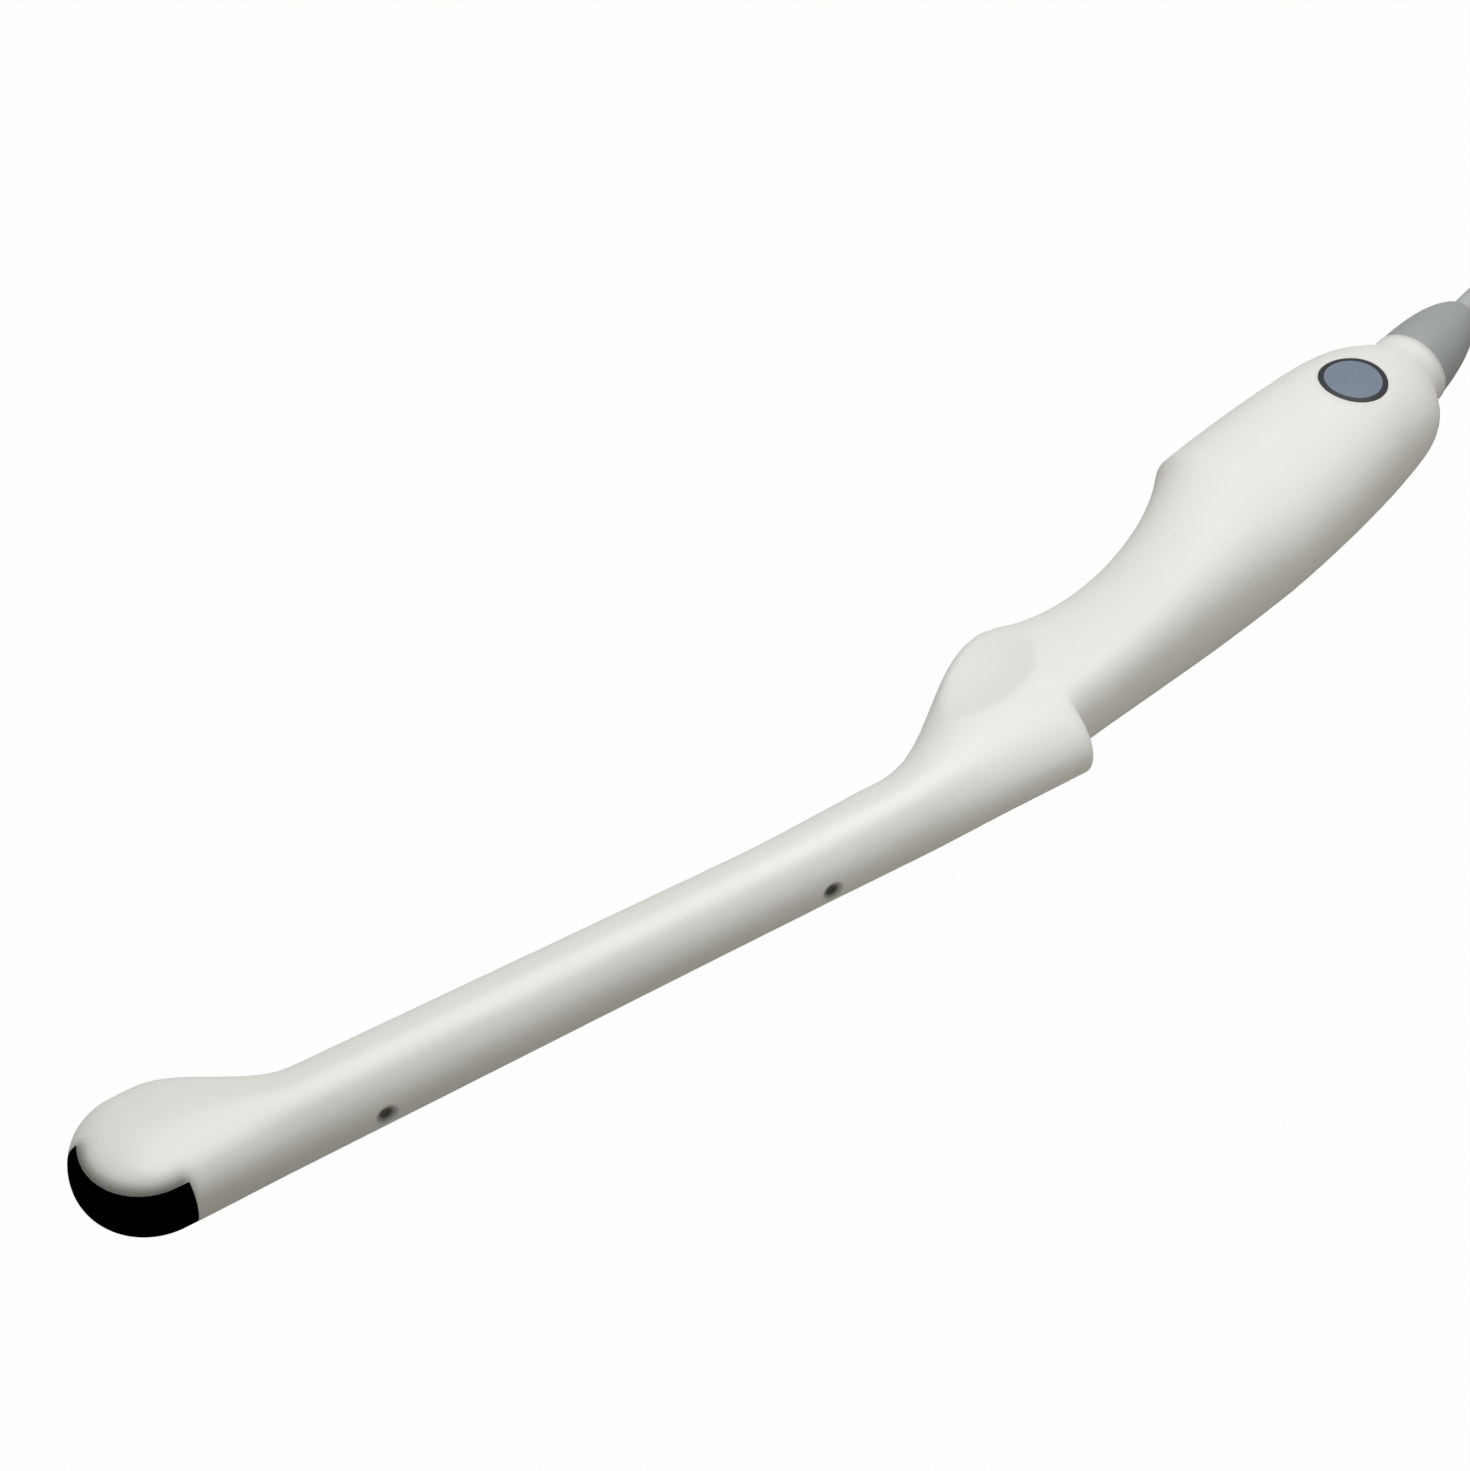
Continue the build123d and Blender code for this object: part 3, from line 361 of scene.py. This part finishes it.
def ranged(tree, value, low, high, at_low, at_high):
    """Turns a range of values into another, and holds it at both ends. Gives the result."""
    node = tree.nodes.new("ShaderNodeMapRange")
    node.inputs["From Min"].default_value = low
    node.inputs["From Max"].default_value = high
    node.inputs["To Min"].default_value = at_low
    node.inputs["To Max"].default_value = at_high
    tree.links.new(value, node.inputs["Value"])
    return node.outputs["Result"]


def measured(tree, operation, place, vector):
    """A vector maths node of a place on the surface and a fixed vector. Gives its one value."""
    node = tree.nodes.new("ShaderNodeVectorMath")
    node.operation = operation
    node.inputs[1].default_value = vector
    tree.links.new(place, node.inputs[0])
    return node.outputs["Value"]


housing_plastic = surface(
    "housing_plastic", (0.72, 0.717, 0.688), 0.33, mottle=0.012, cloud=45, grain=0.000012,
    unevenness=0.05,
)
tree = housing_plastic.node_tree
skin = tree.nodes["Principled BSDF"]
place = tree.nodes["Texture Coordinate"].outputs["Object"]

tinted = skin.inputs["Base Color"].links[0].from_socket
# Painted shade in each dimple: full darkness within the inner radius, fading out by the outer one
for dimple in dimples:
    from_dimple = measured(tree, "DISTANCE", place, dimple)
    painted_shade = tree.nodes.new("ShaderNodeMix")
    painted_shade.data_type = "RGBA"
    painted_shade.inputs["B"].default_value = dimple_shade_colour
    link_all(
        tree,
        (ranged(tree, from_dimple, dark_radius, shade_fade_radius, 1, 0), painted_shade.inputs["Factor"]),
        (tinted, painted_shade.inputs["A"]),
    )
    tinted = painted_shade.outputs["Result"]

along = tree.nodes.new("ShaderNodeSeparateXYZ")
tree.links.new(place, along.inputs[0])
added_roughness = ranged(tree, along.outputs["X"], grip_start, grip_full, 0, grip_added_roughness)
satin_roughness = skin.inputs["Roughness"].links[0].from_socket

height = measured(tree, "DOT_PRODUCT", place, seam_direction)
from_seam = maths(tree, "ABSOLUTE", maths(tree, "SUBTRACT", height, seam_height))
softness = ranged(tree, from_seam, crisp_from_seam, round_from_seam, 0, edge_radius)
rounded = tree.nodes.new("ShaderNodeBevel")
rounded.samples = edge_samples
link_all(
    tree,
    (tinted, skin.inputs["Base Color"]),
    (maths(tree, "ADD", satin_roughness, added_roughness), skin.inputs["Roughness"]),
    (softness, rounded.inputs["Radius"]),
    (rounded.outputs["Normal"], tree.nodes["Bump"].inputs["Normal"]),
)
paint(housing_plastic, "housing_upper", "housing_lower")


# Lens.
# A band of dull black silicone, cast around the rounded end of the head and a little way along its
# near side.
lens_silicone = surface(
    "lens_silicone", (0.0002, 0.0002, 0.0002), 0.6, specular=0.0, mottle=0.1, grain=0.000008,
)
paint(lens_silicone, "acoustic_lens")


# Inlay.
# A bare round inlay of satin plastic, set flush into a stepped pocket in the handle: a muted
# grey-blue disc in a charcoal ring.
inlay_blue = surface("inlay_blue", (0.16, 0.20, 0.26), 0.42, mottle=0.08)
inlay_charcoal = surface("inlay_charcoal", (0.022, 0.024, 0.027), 0.42, mottle=0.1)
paint(inlay_blue, "index_disc")
paint(inlay_charcoal, "index_ring")


# Strain relief boot.
# A tapered boot of grey rubber that keeps the cable from kinking at the handle, with a seal ring in
# the groove of its spigot, and the end of the cable inside.
paint(boot_rubber, "strain_relief_boot")
seal_rubber = surface("seal_rubber", (0.008, 0.008, 0.008), 0.55, mottle=0.2, grain=0.00003)
paint(seal_rubber, "boot_seal_ring")
paint(cable_rubber, "cable_inner_end")


# Array in the head.
# Thin resin layers cast on a diced ceramic, with a block of loaded rubber behind it, all carried by
# a milled aluminium frame. The cuts of the dicing saw show on the ceramic as fine lines.
matching_resin = surface(
    "matching_resin", (0.17, 0.15, 0.11), 0.6, mottle=0.2, cloud=900, grain=0.00002,
)
paint(matching_resin, "matching_layer_outer", "matching_layer_inner")
piezo_ceramic = surface(
    "piezo_ceramic", (0.34, 0.26, 0.13), 0.65, mottle=0.12, cloud=1500, grain_scale=6000,
    stripes=[("Z", 0.0004, 0.15, 0.000004)],
)
paint(piezo_ceramic, "piezo_array")
backing_rubber = surface(
    "backing_rubber", (0.009, 0.009, 0.010), 0.8, mottle=0.5, cloud=1200, grain=0.00005,
)
paint(backing_rubber, "backing_block")
frame_metal = surface(
    "frame_metal", (0.62, 0.63, 0.65), 0.42, metallic=1.0, mottle=0.05, grain=0.00002,
    grain_scale=3000, unevenness=0.12,
)
paint(frame_metal, "array_frame")


# Circuits in the shaft.
# A strip of woven glass fibre between two amber films with copper tracks, drawn through a sleeve of
# braided copper.
fibre_board = surface(
    "fibre_board", (0.34, 0.31, 0.13), 0.5, mottle=0.08,
    stripes=[("X", 0.0006, 0.18, 0.00001), ("Y", 0.0006, 0.18, 0.00001)],
)
paint(fibre_board, "flex_stiffener")
flex_film = surface(
    "flex_film", (0.50, 0.16, 0.02), 0.3, mottle=0.06, stripes=[("Y", 0.00035, 0.35, 0.000006)],
)
paint(flex_film, "flex_circuit_upper", "flex_circuit_lower")
shield_copper = surface(
    "shield_copper", (0.75, 0.36, 0.20), 0.35, metallic=1.0, mottle=0.08,
    stripes=[("X", 0.0012, 0.25, 0.00004), ("DIAGONAL", 0.0008, 0.3, 0.00005)],
)
paint(shield_copper, "shield_sleeve")


# Boards in the handle.
# Two green circuit boards on steel spacers, with a drawn and tinned can over each row of connectors,
# and the fan of fine coaxial wires that leaves them for the cable.
circuit_board = surface(
    "circuit_board", (0.008, 0.075, 0.024), 0.35, mottle=0.25, cloud=700,
    stripes=[("Y", 0.0011, 0.2, 0.00002)],
)
paint(circuit_board, "termination_board_upper", "termination_board_lower")
can_steel = surface(
    "can_steel", (0.62, 0.62, 0.63), 0.32, metallic=1.0, mottle=0.06, grain=0.00001,
    grain_scale=900, stretch=(1, 14, 1), unevenness=0.1,
)
paint(can_steel, "shield_can_upper", "shield_can_lower")
paint(screw_steel, "board_spacers", "board_screws", "board_nuts")
paint(tongue_plastic, "coax_headers_upper", "coax_headers_lower")
wire_bundle = surface(
    "wire_bundle", (0.10, 0.13, 0.18), 0.5, mottle=0.3, cloud=300,
    stripes=[("Y", 0.0005, 0.6, 0.00012)],
)
paint(wire_bundle, "coax_bundle")


# Cable clamp.
# Two milled aluminium halves that two steel screws draw together around the end of the cable, so that
# a pull on it never reaches the wires.
paint(frame_metal, "cable_clamp_upper", "cable_clamp_lower")
paint(screw_steel, "clamp_screws")
